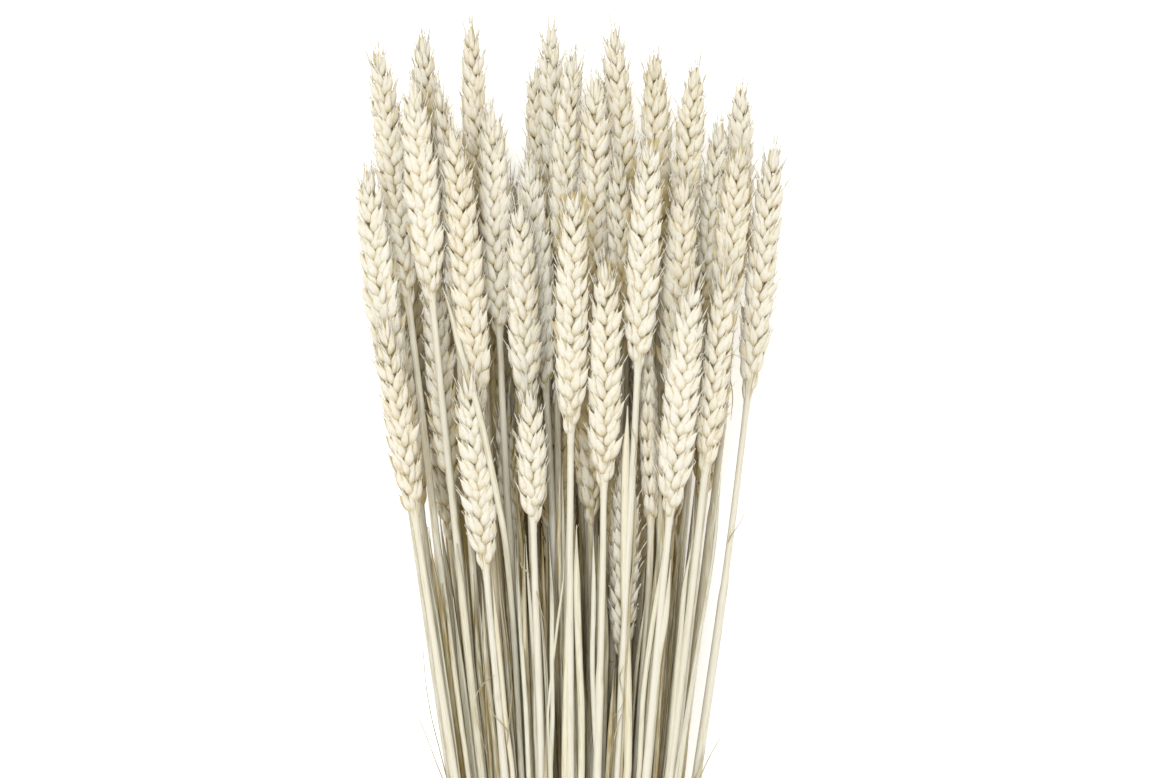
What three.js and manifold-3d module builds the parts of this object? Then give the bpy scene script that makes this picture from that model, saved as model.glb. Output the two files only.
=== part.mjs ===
// A bundle of dried wheat that lies on its side, ears towards +Y and cut ends towards -Y.
// Millimetres, +Z up. The bundle is laid out with the middle of its tie at Y = 0, and at the
// end it is moved so that the origin is the middle of its lowest level.
import * as THREE from 'three';
import { mergeVertices } from 'three/addons/utils/BufferGeometryUtils.js';
import Module from 'manifold-3d';

// ---- The bundle -------------------------------------------------------------------------
const BUTT_Y = -105; // the middle of the cut ends, which are uneven by BUTT_SCATTER each way
const BUTT_SCATTER = 9;
const HEAD_Z = 30; // the middle of the ears above the surface
const LOWEST_EAR_Z = 4.2; // the lowest layer is pressed onto the surface
const WAIST_Z = 25; // the middle of the tie above the surface
const BUTT_Z = 20;
const LAYER_STEP = 11.8; // one layer of ears above another
const HEAD_HALF_WIDTH = 92; // the layers draw together towards this distance from the middle
const WAIST_SQUEEZE = 0.24; // how far the tie draws the stems in, sideways
const WAIST_SQUEEZE_DEPTH = 0.55; // and in depth
const FAN_POWER = 0.86; // below 1 the stems spread fastest just above the tie
const BUTT_FLARE = 0.45; // the cut ends spread by this share of the waist

// ---- A stalk ----------------------------------------------------------------------------
const STEM_SIDES = 5;
const STEM_RADIUS_BUTT = 2.1;
const STEM_RADIUS_NECK = 1.25;
const EAR_HALF_WIDTH = 6.8; // of a full ear, over the tips of the scales
const EAR_HALF_DEPTH = 5.3;
const FOOT_GIRTH = 0.5; // an ear's girth at its foot and at its tip, as shares of its middle
const TIP_GIRTH = 0.42;
const FULL_FROM = 0.2; // the part of its length over which an ear has its full girth
const FULL_TO = 0.55;
const TWIST = 8; // degrees by which an ear may be turned more or less than it was laid
const SCALE_PITCH = 12; // from one scale to the next one on the same side
const EAR_FOOT = 6.5; // the bare neck under the lowest scales
const EAR_TUFT = 11; // from the last scales to the end of the awns
const SCALE_LIFT = 0.1; // how far a scale's tip stands above its root, as a share of the ear
const EAR_ROOM = 1.08; // an ear keeps this much more room than its own girth
const STRAIGHT_END = 5; // a stem doesn't bend nearer than this to its ends
const NECK_MARGIN = 1; // an ear's room starts this much under its foot

// ---- The tie ----------------------------------------------------------------------------
const TWINE = 2;
const TWINE_TURNS = 4;
const TIE_SIDES = 18;
const TIE_HALF = (TWINE * TWINE_TURNS) / 2;
const GAP = 0.3; // what touches keeps this much air
const KNOT_RADIUS = 2.7;
const KNOT_SHAPE = [1.25, 1, 0.8]; // wider than it is high
const END_STEPS = 7;
// Where the two loose ends run, from the knot: across, along the bundle and up.
const LONG_END = [[0, 0, 0], [5, -4, 2], [10, -11, 1], [13, -20, -2]];
const SHORT_END = [[0, 0, 0], [-6, -3, 2], [-12, -8, 0.5], [-16, -15, -4]];

// The ears as they lie in the fan:
// [tip across, tip up, foot across, foot up, layer, turn, girth].
// Layer 0 lies on the surface and layer 4 is on top. A turn of 0 degrees shows the braided
// face, and 90 the edge. The girth is a share of a full ear's.
const EARS = [
  [-76, 468, -64, 367, 2, 15, 0.83],
  [-80, 422, -68, 327, 3, -20, 0.92],
  [-73, 364, -60, 285, 4, 10, 0.77],
  [-59, 475, -55, 375, 1, 30, 0.85],
  [-62, 454, -54, 369, 3, -5, 0.9],
  [-53, 454, -49, 363, 2, 60, 0.75],
  [-47, 437, -35, 324, 3, 0, 0.87],
  [-40, 479, -37, 388, 1, 20, 0.7],
  [-32, 445, -29, 356, 2, -15, 0.9],
  [-24, 418, -24, 333, 0, 40, 0.8],
  [-21, 408, -18, 328, 3, 5, 0.87],
  [-17, 337, -16, 284, 4, 0, 0.78],
  [-16, 427, -8, 335, 2, -25, 0.88],
  [-10, 479, -7, 390, 0.8, 10, 0.72],
  [-15, 463, -11, 375, 0, -30, 0.75],
  [0, 467, -8, 383, 1.6, 30, 0.88],
  [7, 457, 7, 360, 2, -10, 0.87],
  [0, 413, -2, 318, 4, 0, 0.86],
  [15, 477, 22, 398, 1, 20, 0.8],
  [12, 431, 18, 344, 0.8, 50, 0.8],
  [29, 433, 24, 342, 4, -5, 0.86],
  [16, 426, 19, 345, 2, 20, 0.75],
  [12, 386, 12, 297, 4, 5, 0.87],
  [31, 467, 35, 383, 1, -20, 0.84],
  [42, 417, 38, 333, 3, 10, 0.95],
  [45, 378, 36, 287, 4, 0, 0.94],
  [29, 360, 31, 283, 3, 85, 0.85],
  [48, 462, 42, 371, 2, -15, 0.77],
  [64, 454, 62, 371, 1, 20, 0.83],
  [57, 440, 50, 360, 2, -30, 0.83],
  [63, 431, 56, 354, 3, 10, 0.85],
  [59, 385, 50, 303, 3, -10, 0.77],
  [77, 431, 68, 331, 2, 15, 0.8],
  [21.5, 313, 20.4, 234, 3, 90, 0.95],
  [6, 371, 7, 283, 2, 40, 0.85],
  [14, 360, 15, 277, 1, -40, 0.85],
  [-52, 388, -45, 296, 2, 20, 0.8],
  [-32, 383, -29, 298, 1, -60, 0.8],
  [-41, 343, -33, 266, 4, 5, 0.86],
  [-65, 398, -56, 313, 0, 30, 0.85],
  [-42, 394, -35, 306, 0, -20, 0.85],
  [-13, 390, -10, 306, 0, 10, 0.85],
  [10, 404, 10, 317, 0, 60, 0.85],
  [33, 398, 30, 312, 0, -35, 0.85],
  [57, 404, 50, 321, 0, 25, 0.85],
  [-5, 333, -3, 256, 1, -10, 0.85],
  [26, 333, 23, 252, 1, 35, 0.85],
  [-27, 333, -21, 256, 1, 70, 0.85],
  [-69, 371, -59, 290, 1, -25, 0.85],
  [-57, 360, -49, 277, 0, 15, 0.85],
  [-47, 367, -40, 287, 1, 50, 0.85],
  [-36, 360, -30, 275, 0, -10, 0.85],
  [-21, 371, -17, 285, 1, 30, 0.85],
  [-11, 358, -9, 269, 0, 80, 0.85],
  [0, 377, 2, 294, 1, -45, 0.85],
  [18, 358, 17, 273, 0, 20, 0.85],
  [31, 371, 28, 287, 1, 0, 0.85],
  [45, 358, 38, 279, 0, -65, 0.85],
  [59, 371, 50, 292, 1, 40, 0.85],
];

// The heights at which a stem may bend. It runs straight through the tie.
const STATIONS = [
  BUTT_Y - BUTT_SCATTER, -TIE_HALF - 1, TIE_HALF + 1, 70, 140, 210, 280, 350, 420, 490,
];
const WAIST_LOW = 1;
const WAIST_HIGH = 2;

// A repeatable draw between -1 and 1.
let seed = 921;
function draw() {
  seed = (seed * 16807) % 2147483647;
  return (2 * seed) / 2147483647 - 1;
}

const mix = (a, b, t) => a + (b - a) * t;

// ---- Where each stalk lies --------------------------------------------------------------

// Where the stalk would run if its neighbours didn't push it.
function freeRun(stalk, y) {
  const { tip, foot, headZ } = stalk;
  const waistX = foot.x * WAIST_SQUEEZE;
  const waistZ = WAIST_Z + (headZ - HEAD_Z) * WAIST_SQUEEZE_DEPTH;
  if (y > foot.y) {
    return { x: mix(foot.x, tip.x, (y - foot.y) / (tip.y - foot.y)), z: headZ };
  }
  if (y > TIE_HALF) {
    const fan = ((y - TIE_HALF) / (foot.y - TIE_HALF)) ** FAN_POWER;
    return { x: mix(waistX, foot.x, fan), z: mix(waistZ, headZ, fan) };
  }
  const below = Math.max(0, (-TIE_HALF - y) / (-TIE_HALF - BUTT_Y));
  const spread = 1 + BUTT_FLARE * below;
  return { x: waistX * spread, z: mix(WAIST_Z, BUTT_Z, below) + (waistZ - WAIST_Z) * spread };
}

function makeStalk([tipX, tipY, footX, footY, layer, turn, girth], number) {
  const thickness = Math.sqrt(1 - (tipX / HEAD_HALF_WIDTH) ** 2);
  const inLayerZ = HEAD_Z + (layer - 2) * LAYER_STEP * thickness + draw();
  const stalk = {
    name: `stalk_${String(number + 1).padStart(2, '0')}`,
    tip: { x: tipX, y: tipY },
    foot: { x: footX, y: footY },
    headZ: layer === 0 ? LOWEST_EAR_Z : inLayerZ,
    turn: THREE.MathUtils.degToRad(turn + TWIST * draw()),
    girth,
    butt: BUTT_Y + BUTT_SCATTER * draw(),
  };
  stalk.free = STATIONS.map((y) => freeRun(stalk, y));
  stalk.run = stalk.free.map((point) => ({ ...point }));
  return stalk;
}

// The centre line at a height, and how far that height is between two stations.
function at(stalk, y) {
  let low = 0;
  while (low < STATIONS.length - 2 && y > STATIONS[low + 1]) low += 1;
  const share = (y - STATIONS[low]) / (STATIONS[low + 1] - STATIONS[low]);
  const [a, b] = [stalk.run[low], stalk.run[low + 1]];
  return { x: mix(a.x, b.x, share), z: mix(a.z, b.z, share), low, share };
}

function stemRadius(stalk, y) {
  return mix(STEM_RADIUS_BUTT, STEM_RADIUS_NECK, (y - stalk.butt) / (stalk.foot.y - stalk.butt));
}

// The ear's girth as a share of its full girth, from its foot (0) to its tip (1).
function earTaper(share) {
  if (share < FULL_FROM) return mix(FOOT_GIRTH, 1, Math.max(0, share) / FULL_FROM);
  if (share < FULL_TO) return 1;
  return mix(1, TIP_GIRTH, (share - FULL_TO) / (1 - FULL_TO));
}

// How far the stalk reaches from its centre line at a height, towards a direction in X and Z.
function reach(stalk, y, dx, dz) {
  const { foot, tip, turn } = stalk;
  if (y < foot.y - NECK_MARGIN) return stemRadius(stalk, y);
  const share = Math.min(1, (y - foot.y) / (tip.y - foot.y));
  const girth = EAR_ROOM * stalk.girth * Math.max(earTaper(share), earTaper(share - SCALE_LIFT));
  const across = dx * Math.cos(turn) - dz * Math.sin(turn);
  const deep = dx * Math.sin(turn) + dz * Math.cos(turn);
  return girth / Math.hypot(across / EAR_HALF_WIDTH, deep / EAR_HALF_DEPTH);
}

// Moves the stalk sideways at a height by moving the two stations round that height.
function push(stalk, place, dx, dz) {
  const upper = place.share;
  const lower = 1 - upper;
  const grip = 1 / (upper * upper + lower * lower);
  const [a, b] = [stalk.run[place.low], stalk.run[place.low + 1]];
  a.x += dx * lower * grip;
  a.z += dz * lower * grip;
  b.x += dx * upper * grip;
  b.z += dz * upper * grip;
}

const LEVEL_STEP = 7;
const EASE = 0.5; // the share of an overlap that one pass takes away

// Pushes apart the stalks that are too near each other, and returns the worst overlap.
function separate(stalks) {
  let worst = 0;
  for (let y = STATIONS[0]; y < STATIONS[STATIONS.length - 1]; y += LEVEL_STEP) {
    const here = stalks.filter((stalk) => y > stalk.butt - LEVEL_STEP && y < stalk.tip.y);
    for (let i = 0; i < here.length; i += 1) {
      const one = here[i];
      for (let j = i + 1; j < here.length; j += 1) {
        const other = here[j];
        const a = at(one, y);
        const b = at(other, y);
        const [dx, dz] = [b.x - a.x, b.z - a.z];
        const apart = Math.hypot(dx, dz) || 1e-6;
        if (apart > 2 * EAR_HALF_WIDTH * EAR_ROOM + GAP) continue;
        const [ux, uz] = [dx / apart, dz / apart];
        const overlap = reach(one, y, ux, uz) + reach(other, y, ux, uz) + GAP - apart;
        if (overlap <= 0) continue;
        worst = Math.max(worst, overlap);
        push(one, a, -ux * overlap * EASE, -uz * overlap * EASE);
        push(other, b, ux * overlap * EASE, uz * overlap * EASE);
      }
      const place = at(one, y);
      const sunk = reach(one, y, 0, -1) - place.z;
      if (sunk > 0) push(one, place, 0, sunk);
    }
  }
  return worst;
}

const SETTLING = 260; // passes in which the stalks also spring back and straighten
const CLEARING = 1500; // passes in which they only make room for each other
const CLEAR_ENOUGH = 0.01;
const SPRING_X = 0.12;
const SPRING_Z = 0.02;
const STIFFNESS = 0.12;
const PINCH = 0.12; // how hard the tie pulls at each pass

function pinch(stalk, pull) {
  const [low, high] = [stalk.run[WAIST_LOW], stalk.run[WAIST_HIGH]];
  const x = ((low.x + high.x) / 2) * (1 - pull);
  const z = mix((low.z + high.z) / 2, WAIST_Z, pull);
  low.x = high.x = x;
  low.z = high.z = z;
}

function settle(stalks) {
  for (let pass = 0; pass < SETTLING; pass += 1) {
    for (const stalk of stalks) {
      stalk.run.forEach((point, k) => {
        point.x += (stalk.free[k].x - point.x) * SPRING_X;
        point.z += (stalk.free[k].z - point.z) * SPRING_Z;
      });
      for (let k = WAIST_HIGH + 1; k < STATIONS.length - 1; k += 1) {
        const [a, b, c] = [stalk.run[k - 1], stalk.run[k], stalk.run[k + 1]];
        const share = (STATIONS[k] - STATIONS[k - 1]) / (STATIONS[k + 1] - STATIONS[k - 1]);
        b.x += (mix(a.x, c.x, share) - b.x) * STIFFNESS;
        b.z += (mix(a.z, c.z, share) - b.z) * STIFFNESS;
      }
      pinch(stalk, PINCH);
    }
    separate(stalks);
  }
  for (let pass = 0; pass < CLEARING && separate(stalks) > CLEAR_ENOUGH; pass += 1) {
    stalks.forEach((stalk) => pinch(stalk, 0));
  }
}

// ---- The shape of a stalk ---------------------------------------------------------------

// The ear's eight ribs, clockwise from the top: where a rib stands across and deep when its
// scale stands out and when it dips under the scale below, and how far up it is drawn then,
// in shares of the pitch. The two seams between the rows of scales only wander a little.
const SEAM = { out: [0.6, 2.8], dip: [-0.6, 2.8], lift: [-0.5, -0.5] };
const RIB = { out: [3.6, EAR_HALF_DEPTH], dip: [2.5, 2.9], lift: [0.16, -0.36] };
const EDGE = { out: [EAR_HALF_WIDTH, 0], dip: [4.2, 0], lift: [0.72, 0.1] };
const RIBS = [
  { ...SEAM, side: 1, across: 1, deep: 1 },
  { ...RIB, side: 1, across: 1, deep: 1 },
  { ...EDGE, side: 1, across: 1, deep: 1 },
  { ...RIB, side: 1, across: 1, deep: -1 },
  { ...SEAM, side: 1, across: 1, deep: -1 },
  { ...RIB, side: 0, across: -1, deep: -1 },
  { ...EDGE, side: 0, across: -1, deep: 1 },
  { ...RIB, side: 0, across: -1, deep: 1 },
];

class Shell {
  constructor() {
    this.points = [];
    this.faces = [];
  }

  ring(points) {
    const first = this.points.length;
    this.points.push(...points);
    return points.map((_, k) => first + k);
  }

  // Joins two rings of the same count. The diagonals of the second half mirror the first's.
  band(lower, upper) {
    lower.forEach((a, k) => {
      const next = (k + 1) % lower.length;
      const [b, c, d] = [lower[next], upper[next], upper[k]];
      if (k < lower.length / 2) this.faces.push([a, b, d], [b, c, d]);
      else this.faces.push([a, b, c], [a, c, d]);
    });
  }

  // Joins a ring to one with more corners.
  widen(lower, upper) {
    let k = 0;
    upper.forEach((point, m) => {
      const next = (m + 1) % upper.length;
      this.faces.push([lower[k % lower.length], upper[next], point]);
      const due = Math.round(((m + 1) * lower.length) / upper.length);
      if (due > k) {
        this.faces.push([lower[k % lower.length], lower[(k + 1) % lower.length], upper[next]]);
        k += 1;
      }
    });
  }

  close(ring) {
    for (let k = 1; k < ring.length - 1; k += 1) this.faces.push([ring[0], ring[k + 1], ring[k]]);
  }

  point(ring, apex) {
    const [top] = this.ring([apex]);
    ring.forEach((corner, k) => this.faces.push([corner, ring[(k + 1) % ring.length], top]));
  }

  geometry() {
    const geometry = new THREE.BufferGeometry();
    geometry.setAttribute('position', new THREE.Float32BufferAttribute(this.points.flat(), 3));
    geometry.setIndex(this.faces.flat());
    geometry.computeVertexNormals();
    return geometry;
  }
}

function stemRing(stalk, y) {
  const centre = at(stalk, y);
  const radius = stemRadius(stalk, y);
  return Array.from({ length: STEM_SIDES }, (_, k) => {
    const angle = (2 * Math.PI * k) / STEM_SIDES;
    return [centre.x - radius * Math.sin(angle), y, centre.z - radius * Math.cos(angle)];
  });
}

function earRing(stalk, number, height, pitch) {
  const length = stalk.tip.y - stalk.foot.y;
  return RIBS.map((rib) => {
    const standsOut = number % 2 === rib.side;
    const [across, deep] = standsOut ? rib.out : rib.dip;
    const taper = earTaper(height / length);
    const y = stalk.foot.y + height + rib.lift[standsOut ? 0 : 1] * pitch * Math.sqrt(taper);
    const centre = at(stalk, y);
    const { turn, girth } = stalk;
    const u = across * rib.across * taper * girth;
    const v = deep * rib.deep * taper * girth;
    return [
      centre.x + u * Math.cos(turn) + v * Math.sin(turn),
      y,
      centre.z - u * Math.sin(turn) + v * Math.cos(turn),
    ];
  });
}

function stalkGeometry(stalk) {
  const shell = new Shell();
  const bends = STATIONS.filter((y) => y > stalk.butt + STRAIGHT_END && y < stalk.foot.y - STRAIGHT_END);
  const stem = [stalk.butt, ...bends, stalk.foot.y].map((y) => shell.ring(stemRing(stalk, y)));
  shell.close(stem[0]);
  for (let k = 1; k < stem.length; k += 1) shell.band(stem[k - 1], stem[k]);

  const scaled = stalk.tip.y - stalk.foot.y - EAR_FOOT - EAR_TUFT;
  const steps = 2 * Math.round(scaled / SCALE_PITCH) + 1;
  const step = scaled / (steps - 1);
  const ear = Array.from({ length: steps }, (_, k) =>
    shell.ring(earRing(stalk, k, EAR_FOOT + k * step, 2 * step)));
  shell.widen(stem[stem.length - 1], ear[0]);
  for (let k = 1; k < ear.length; k += 1) shell.band(ear[k - 1], ear[k]);
  const top = at(stalk, stalk.tip.y);
  shell.point(ear[ear.length - 1], [top.x, stalk.tip.y, top.z]);
  return shell.geometry();
}

// ---- The twine tie ----------------------------------------------------------------------
const wasm = await Module();
wasm.setup();

function toSolid(geometry) {
  const bare = geometry.clone();
  bare.deleteAttribute('normal');
  bare.deleteAttribute('uv');
  const merged = mergeVertices(bare, 1e-4);
  return new wasm.Manifold(new wasm.Mesh({
    numProp: 3,
    vertProperties: new Float32Array(merged.attributes.position.array),
    triVerts: new Uint32Array(merged.index.array),
  }));
}

function toGeometry(solid) {
  const mesh = solid.getMesh();
  const geometry = new THREE.BufferGeometry();
  geometry.setAttribute('position', new THREE.BufferAttribute(mesh.vertProperties, 3));
  geometry.setIndex(new THREE.BufferAttribute(mesh.triVerts, 1));
  geometry.computeVertexNormals();
  return geometry;
}

// The turns lie side by side, so the ring is flat inside and ribbed outside.
function windings(inner) {
  const middle = inner + TWINE / 2;
  const profile = [new THREE.Vector2(inner, -TIE_HALF), new THREE.Vector2(middle, -TIE_HALF)];
  for (let turn = 0; turn < TWINE_TURNS; turn += 1) {
    const low = -TIE_HALF + turn * TWINE;
    profile.push(new THREE.Vector2(inner + TWINE, low + TWINE / 2));
    profile.push(new THREE.Vector2(middle, low + TWINE));
  }
  profile.push(new THREE.Vector2(inner, TIE_HALF), new THREE.Vector2(inner, -TIE_HALF));
  return new THREE.LatheGeometry(profile, TIE_SIDES);
}

function twineEnd(points, crown) {
  const section = new THREE.Shape();
  for (let k = 0; k < STEM_SIDES; k += 1) {
    const angle = (2 * Math.PI * k) / STEM_SIDES;
    const [x, y] = [(TWINE / 2) * Math.cos(angle), (TWINE / 2) * Math.sin(angle)];
    if (k === 0) section.moveTo(x, y);
    else section.lineTo(x, y);
  }
  section.closePath();
  const run = new THREE.CatmullRomCurve3(points.map(([x, y, z]) => new THREE.Vector3(x, y, crown + z)));
  const settings = { steps: END_STEPS, bevelEnabled: false, extrudePath: run };
  return new THREE.ExtrudeGeometry(section, settings);
}

function tieGeometry(stalks) {
  const waist = Math.max(...stalks.map((stalk) => {
    const { x, z } = stalk.run[WAIST_LOW];
    return Math.hypot(x, z - WAIST_Z) + stemRadius(stalk, STATIONS[WAIST_LOW]);
  }));
  const inner = (waist + GAP) / Math.cos(Math.PI / TIE_SIDES);
  const crown = inner + TWINE;
  const knot = new THREE.IcosahedronGeometry(KNOT_RADIUS, 1);
  knot.scale(...KNOT_SHAPE);
  knot.translate(0, 0, crown);
  const pieces = [knot, twineEnd(LONG_END, crown), twineEnd(SHORT_END, crown)].map(toSolid);
  const solid = pieces.reduce((joined, piece) => joined.add(piece), toSolid(windings(inner)));
  const geometry = toGeometry(solid);
  geometry.translate(0, 0, WAIST_Z);
  return geometry;
}

// ---- The whole bundle -------------------------------------------------------------------
const FLAT_SPOT = 0.8; // what rests on the surface is flattened by this much

const stalks = EARS.map(makeStalk);
settle(stalks);

const group = new THREE.Group();
const box = new THREE.Box3();

function addPiece(name, geometry, look) {
  const mesh = new THREE.Mesh(geometry, new THREE.MeshStandardMaterial(look));
  mesh.name = name;
  group.add(mesh);
  geometry.computeBoundingBox();
  box.union(geometry.boundingBox);
}

const DRY_STRAW = { color: 0xe4dcc6, roughness: 0.75, metalness: 0 };
const TWINE_LOOK = { color: 0xb29468, roughness: 0.95, metalness: 0 };

stalks.forEach((stalk) => addPiece(stalk.name, stalkGeometry(stalk), DRY_STRAW));
const floor = box.min.z + FLAT_SPOT;
for (const { geometry } of group.children) {
  const { position } = geometry.attributes;
  for (let k = 0; k < position.count; k += 1) {
    position.setZ(k, Math.max(position.getZ(k), floor));
  }
}
addPiece('twine_tie', tieGeometry(stalks), TWINE_LOOK);

const centre = box.getCenter(new THREE.Vector3());
group.position.set(-centre.x, -centre.y, -floor);

export default group;
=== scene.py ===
# A bundle of dried, bleached wheat that lies on a pale floor, ears away from the viewer. The packed
# solids say where each stalk runs; here each one gets its straw, its spikelets and its finish.
from math import pi, radians

import bpy
import numpy as np
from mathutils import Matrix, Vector


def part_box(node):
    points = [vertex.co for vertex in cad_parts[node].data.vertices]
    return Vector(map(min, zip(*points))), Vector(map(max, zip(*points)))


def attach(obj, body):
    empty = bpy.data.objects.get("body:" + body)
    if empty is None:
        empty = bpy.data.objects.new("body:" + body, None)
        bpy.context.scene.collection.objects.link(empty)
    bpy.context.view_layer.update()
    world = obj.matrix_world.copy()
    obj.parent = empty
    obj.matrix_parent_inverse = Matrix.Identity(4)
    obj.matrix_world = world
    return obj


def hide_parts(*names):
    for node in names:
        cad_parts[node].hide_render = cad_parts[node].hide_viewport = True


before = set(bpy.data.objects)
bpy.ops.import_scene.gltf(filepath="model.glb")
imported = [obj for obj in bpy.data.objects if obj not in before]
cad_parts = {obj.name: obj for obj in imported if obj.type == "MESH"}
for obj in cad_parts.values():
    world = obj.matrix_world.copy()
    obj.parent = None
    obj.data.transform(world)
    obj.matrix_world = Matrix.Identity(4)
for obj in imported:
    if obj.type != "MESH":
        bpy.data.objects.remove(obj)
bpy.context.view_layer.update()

# ---- The stalks -------------------------------------------------------------------------------
# A stalk grew as one piece: a hollow straw, and on top an ear of two rows of spikelets that
# alternate on a zigzag stem. It was cut with a knife, dried and bleached. Nothing is fixed to it.

# Lengths are in millimetres, with x across the bunch, y along it to the ears and z off the floor.
MM = 0.001
STALKS = [f"stalk_{number:02d}" for number in range(1, 60)]

# The straw: its thickness, its cut end, its joints and the torn end of its leaf sheath, and the
# stem that it turns into inside the ear.
BUTT_RADIUS = 2.1
NECK_RADIUS = 1.25
COLLAR = 0.2
OVALNESS = 0.04
STRAW_WALL = 0.45
STRAW_SIDES = 12
STRAW_RING_STEP = 5.0
CLOSEST_RINGS = 0.15
HOLLOW_DEPTH = 9.0
CUT_SLOPE = 0.35
LOW_JOINT = (25, 60)
HIGH_JOINT = (-80, 60)
HIGH_JOINT_SHARE = 0.4
HIDDEN_JOINT = 75
JOINT_SWELLING = 0.22
JOINT_HALF_LENGTH = 2.2
SHEATH_THICKNESS = 0.32
SHEATH_SLANT = 2.6
SHEATH_BARES = (60, 230)
EAR_CORE_START = 8
EAR_CORE_RADIUS = 2.4
EAR_CORE_TIP = 0.9

# The ear: where its spikelets start and end, its half depth and width, and how its girth changes
# from its foot to its tip.
FIRST_SPIKELET = 1.6
LAST_SPIKELET = 10.5
EAR_HALF_DEPTH = 5.3
EAR_HALF_WIDTH = 6.8
GIRTH_HEIGHTS = (0.0, 0.08, 0.2, 0.55, 0.8, 0.92, 1.0)
GIRTHS = (0.32, 0.76, 1.0, 1.0, 0.88, 0.7, 0.5)


def triples(x, y, z):
    """Points or directions from their coordinates, each of them an array or one number."""
    return np.stack(np.broadcast_arrays(x, y, z), axis=-1)


def smooth_line(heights, places):
    """A function that gives the points of a smooth curve through (x, z) places at those heights."""
    steps = np.diff(heights)[:, None]
    secants = np.diff(places, axis=0) / steps
    inner = (secants[:-1] * steps[1:] + secants[1:] * steps[:-1]) / (steps[1:] + steps[:-1])
    slopes = np.vstack([secants[:1], inner, secants[-1:]])

    def line(height):
        height = np.asarray(height, float)
        low = np.clip(np.searchsorted(heights, height) - 1, 0, len(steps) - 1)
        step = steps[low]
        t = (height - heights[low])[..., None] / step
        place = (
            places[low] * (1 + 2 * t) * (1 - t) ** 2
            + slopes[low] * step * t * (1 - t) ** 2
            + places[low + 1] * t**2 * (3 - 2 * t)
            + slopes[low + 1] * step * t**2 * (t - 1)
        )
        return triples(place[..., 0], height, place[..., 1])

    return line


# The solid of a stalk has rings of five corners on its stem and pairs of corners up its ear. The
# ear's line is read at two shares of its length, and holds on to its foot and tip by a weight.
STEM_CORNERS = 5
EAR_CORNERS = 2
EAR_SHARES = (0.35, 0.7)
END_WEIGHT = 25


def read_stalk(node):
    """The line of a stalk's solid, the heights of its butt, foot and tip, its ear's turn and girth."""
    corners = np.array([vertex.co for vertex in node.data.vertices]) / MM
    corners = np.unique(corners.round(3), axis=0)
    levels = {}
    for corner in corners:
        levels.setdefault(round(corner[1], 2), []).append(corner)
    levels = [np.array(levels[height]) for height in sorted(levels)]
    rings = [level.mean(axis=0) for level in levels if len(level) == STEM_CORNERS]
    pairs = np.array([level for level in levels if len(level) == EAR_CORNERS])
    foot, tip = rings[-1], levels[-1][0]

    # The two corners of a pair stand at the front and the back of the ear.
    depth = pairs[:, 1] - pairs[:, 0]
    angle = 2 * np.arctan2(depth[:, 0], depth[:, 2])
    size = np.hypot(depth[:, 0], depth[:, 2])
    turn = np.arctan2((size * np.sin(angle)).sum(), (size * np.cos(angle)).sum()) / 2

    middles = pairs.mean(axis=1)
    known = np.vstack([middles, foot, tip])
    weight = np.ones(len(known))
    weight[-2:] = END_WEIGHT
    share = (known[:, 1] - foot[1]) / (tip[1] - foot[1])
    bends = [np.polyfit(share, known[:, k], 2, w=weight) for k in (0, 2)]
    ear = [[np.polyval(bend, s) for bend in bends] for s in EAR_SHARES]
    heights = [ring[1] for ring in rings]
    heights += [foot[1] + s * (tip[1] - foot[1]) for s in (*EAR_SHARES, 1)]
    places = np.array([ring[[0, 2]] for ring in rings] + ear + [tip[[0, 2]]])
    line = smooth_line(np.array(heights), places)
    return line, rings[0][1], foot[1], tip[1], turn, size.max() / (2 * EAR_HALF_DEPTH)


def rise(low, high, value):
    """0 below low, 1 above high, and a smooth rise between them."""
    t = np.clip((value - low) / (high - low), 0, 1)
    return t * t * (3 - 2 * t)


def unit(vectors):
    """The same directions, each 1 long."""
    return vectors / np.linalg.norm(vectors, axis=-1, keepdims=True)


def frames_along(path):
    """Three directions at each point of a path, forwards, sideways and up, with little twist."""
    forwards = unit(np.gradient(path, axis=0))
    start = np.array([1.0, 0, 0]) if abs(forwards[0][0]) < 0.8 else np.array([0, 0, 1.0])
    sideways = np.empty_like(path)
    for k, ahead in enumerate(forwards):
        start = unit(start - ahead * (start @ ahead))
        sideways[k] = start
    return forwards, sideways, np.cross(sideways, forwards)


def ring_faces(rings, sides, close_start=True, close_end=True):
    """The faces of a tube of that many rings, and of its flat ends."""
    first = np.arange(rings * sides).reshape(rings, sides)
    low, high = first[:-1], first[1:]
    quads = np.stack([low, high, np.roll(high, -1, 1), np.roll(low, -1, 1)], axis=-1).reshape(-1, 4)
    faces = [quads]
    if close_start:
        faces.append(first[:1])
    if close_end:
        faces.append(first[-1:, ::-1])
    return faces


def tube(path, radii, sides):
    """A round tube along a path: its points ring by ring, and the angle of each point round it."""
    _, sideways, up = frames_along(path)
    angle = np.linspace(0, 2 * pi, sides, endpoint=False)
    radii = np.asarray(radii, float)
    if radii.ndim < 2:
        radii = radii.reshape(-1, 1)
    round_it = sideways[:, None] * np.cos(angle)[:, None] + up[:, None] * np.sin(angle)[:, None]
    return path[:, None] + radii[..., None] * round_it, angle


# The maps of how high the bunch lies: their steps and reach, how round a stalk is in them, and how
# far to either side a place in two of them looks.
MAP_STEP = 1.0
MAP_ROW = 3.0
MAP_COLUMNS = 90
MAP_ROWS = 105
MAP_ROUNDNESS = 0.8
MAP_BLUR = 5
BROW_REACH = 4

runs = {name: read_stalk(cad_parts[name]) for name in STALKS}

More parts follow.
